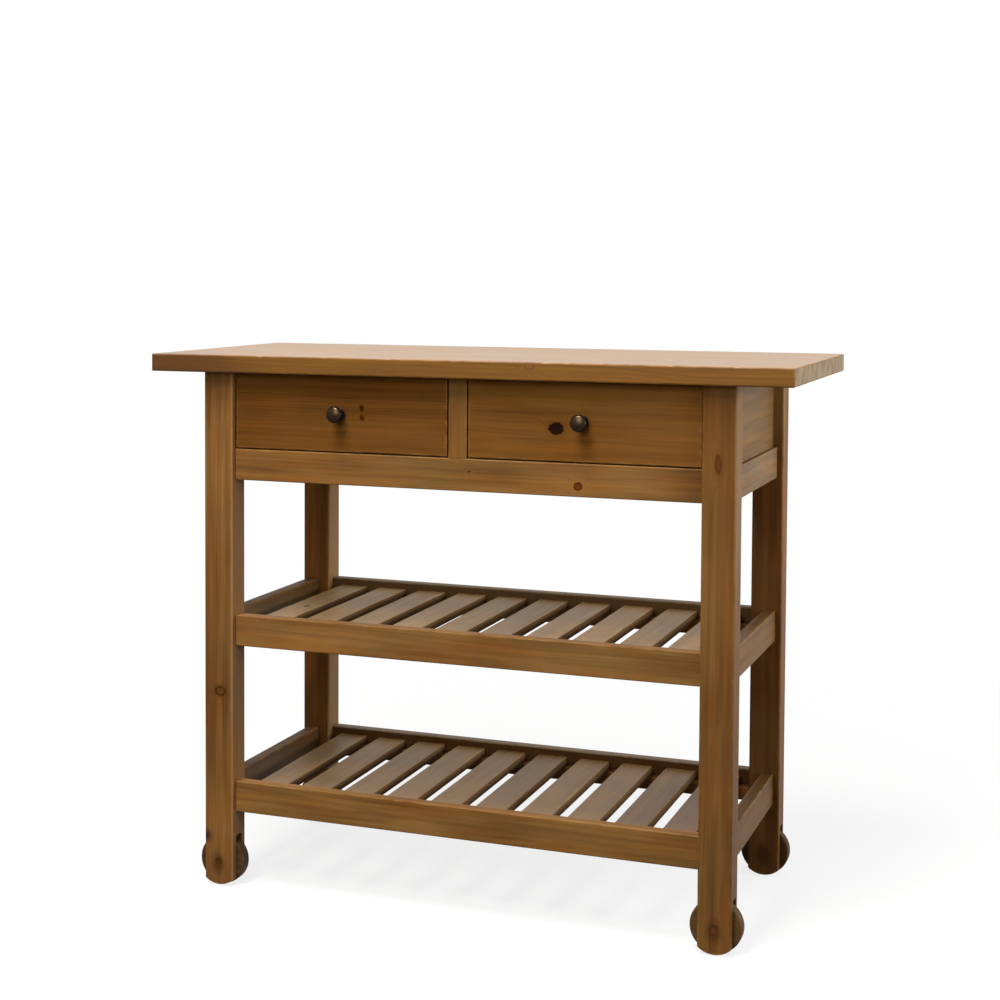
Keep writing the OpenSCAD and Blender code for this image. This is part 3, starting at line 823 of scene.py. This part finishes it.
def white_floor():
    """Matt white paper. The camera sees a fifth of its shading near the table, and white from
    2 m on. Light that bounces off it sees a dark grey, so that it hardly lights the table.
    """
    m = new_material("white_studio_floor")
    surface = add(m, "TexCoord")
    far = add(m, "VectorMath", {0: surface.outputs["Object"]}, operation="LENGTH")
    shaded = add(
        m,
        "MapRange",
        {"Value": far, "From Min": 0.6, "From Max": 2.0, "To Min": 0.2, "To Max": 0.0},
        interpolation_type="SMOOTHSTEP",
    )
    paper = add(m, "BsdfDiffuse", {"Color": colour("E6E4E0")})
    glow = add(m, "Emission", {"Color": (1, 1, 1, 1), "Strength": 1.0})
    white = add(m, "MixShader", {0: shaded, 1: glow, 2: paper})
    dim = add(m, "BsdfDiffuse", {"Color": colour("4A4844")})
    shader = add(m, "MixShader", {0: seen_directly(m), 1: dim, 2: white})
    add(m, "OutputMaterial", {"Surface": shader})
    return m


FLOOR_CORNERS = ((-20, -20, 0), (20, -20, 0), (20, 20, 0), (-20, 20, 0))
floor_mesh = bpy.data.meshes.new("studio_floor")
floor_mesh.from_pydata(FLOOR_CORNERS, [], [(0, 1, 2, 3)])
floor_mesh.materials.append(white_floor())
floor = bpy.data.objects.new("studio_floor", floor_mesh)
bpy.context.scene.collection.objects.link(floor)

# Room
# White to the camera and in reflections. As a light it is a studio with white walls behind
# the table and to its right, a pale ceiling and nothing much on the camera's side.
# A direction's share of right, back and up is squared, and adds that much of each level.
RIGHT_BACK_UP_LEVELS = (0.8, 1.0, 0.3)
DARK_SIDE_LEVEL = 0.04
world = bpy.data.worlds.new("white_studio")
bpy.context.scene.world = world
world.use_nodes = True
world.node_tree.nodes.clear()
direction = add(world, "TexCoord").outputs["Generated"]
towards = add(world, "VectorMath", {0: direction, 1: (0, 0, 0)}, operation="MAXIMUM")
towards = add(world, "VectorMath", {0: towards, 1: direction}, operation="MULTIPLY")
walls = add(world, "VectorMath", {0: towards, 1: RIGHT_BACK_UP_LEVELS}, operation="DOT_PRODUCT")
walls = add(world, "Math", {0: walls.outputs["Value"], 1: DARK_SIDE_LEVEL}, operation="ADD")
level = add(world, "Math", {0: seen_directly(world), 1: walls}, operation="MAXIMUM")
sky = add(world, "Background", {"Color": (1, 1, 1, 1), "Strength": level})
add(world, "OutputWorld", {"Surface": sky})

# Lamps
# Square soft boxes aimed at the middle of the table: two high and one low in front of it,
# and two weaker, slightly blue ones at its right end.
AIM = np.array((0, 0, 0.5))
SOFT_BOXES = (
    # name, place and size in metres, power in watts, and tint
    ("front_soft_box", (-0.6, -3.1, 4.2), 1.3, 125, "FFFFFF"),
    ("overhead_soft_box", (-0.4, -1.7, 4.6), 1.3, 165, "FFFFFF"),
    ("low_soft_box", (-0.3, -3.8, 1.8), 1.4, 50, "FFFFFF"),
    ("right_soft_box", (2.7, 0.3, 1.0), 1.0, 33, "F0FAFF"),
    ("side_soft_box", (2.6, -1.0, 1.1), 0.5, 15, "F0FAFF"),
)
for name, place, size, power, tint in SOFT_BOXES:
    light = bpy.data.lights.new(name, "AREA")
    light.shape = "SQUARE"
    light.size = size
    light.energy = power
    light.color = colour(tint)[:3]
    box = bpy.data.objects.new(name, light)
    bpy.context.scene.collection.objects.link(box)
    box.location = place
    beam = AIM - np.array(place)
    tilt = math.acos(-beam[2] / np.linalg.norm(beam))
    turn = math.atan2(beam[1], beam[0]) - math.pi / 2
    box.rotation_euler = (tilt, 0, turn)

# Camera
# It stands at the photograph's place, in front of the right end and a little above the top.
# The focal length is in pixels of a picture 1000 pixels wide.
FOCAL_PIXELS = 1850.154
PICTURE_WIDTH = 1000
yaw, pitch, roll = (math.radians(a) for a in (22.179, 2.711, 0.146))
ahead = np.array([-math.sin(yaw) * math.cos(pitch), math.cos(yaw) * math.cos(pitch), -math.sin(pitch)])
sideways = np.array([math.cos(yaw), math.sin(yaw), 0])
upward = np.cross(sideways, ahead)
right = sideways * math.cos(roll) + upward * math.sin(roll)
above = upward * math.cos(roll) - sideways * math.sin(roll)
camera_data = bpy.data.cameras.new("photo_camera")
camera_data.lens = FOCAL_PIXELS * camera_data.sensor_width / PICTURE_WIDTH
camera_data.shift_x = 0.12
camera_data.shift_y = -0.14664
camera = bpy.data.objects.new("photo_camera", camera_data)
bpy.context.scene.collection.objects.link(camera)
pose = np.eye(4)
pose[:3, :3] = np.column_stack([right, above, -ahead])
pose[:3, 3] = (0.950287, -2.848889, 1.001824)
camera.matrix_world = Matrix(pose.tolist())
bpy.context.scene.camera = camera
bpy.context.scene.view_settings.view_transform = "Standard"
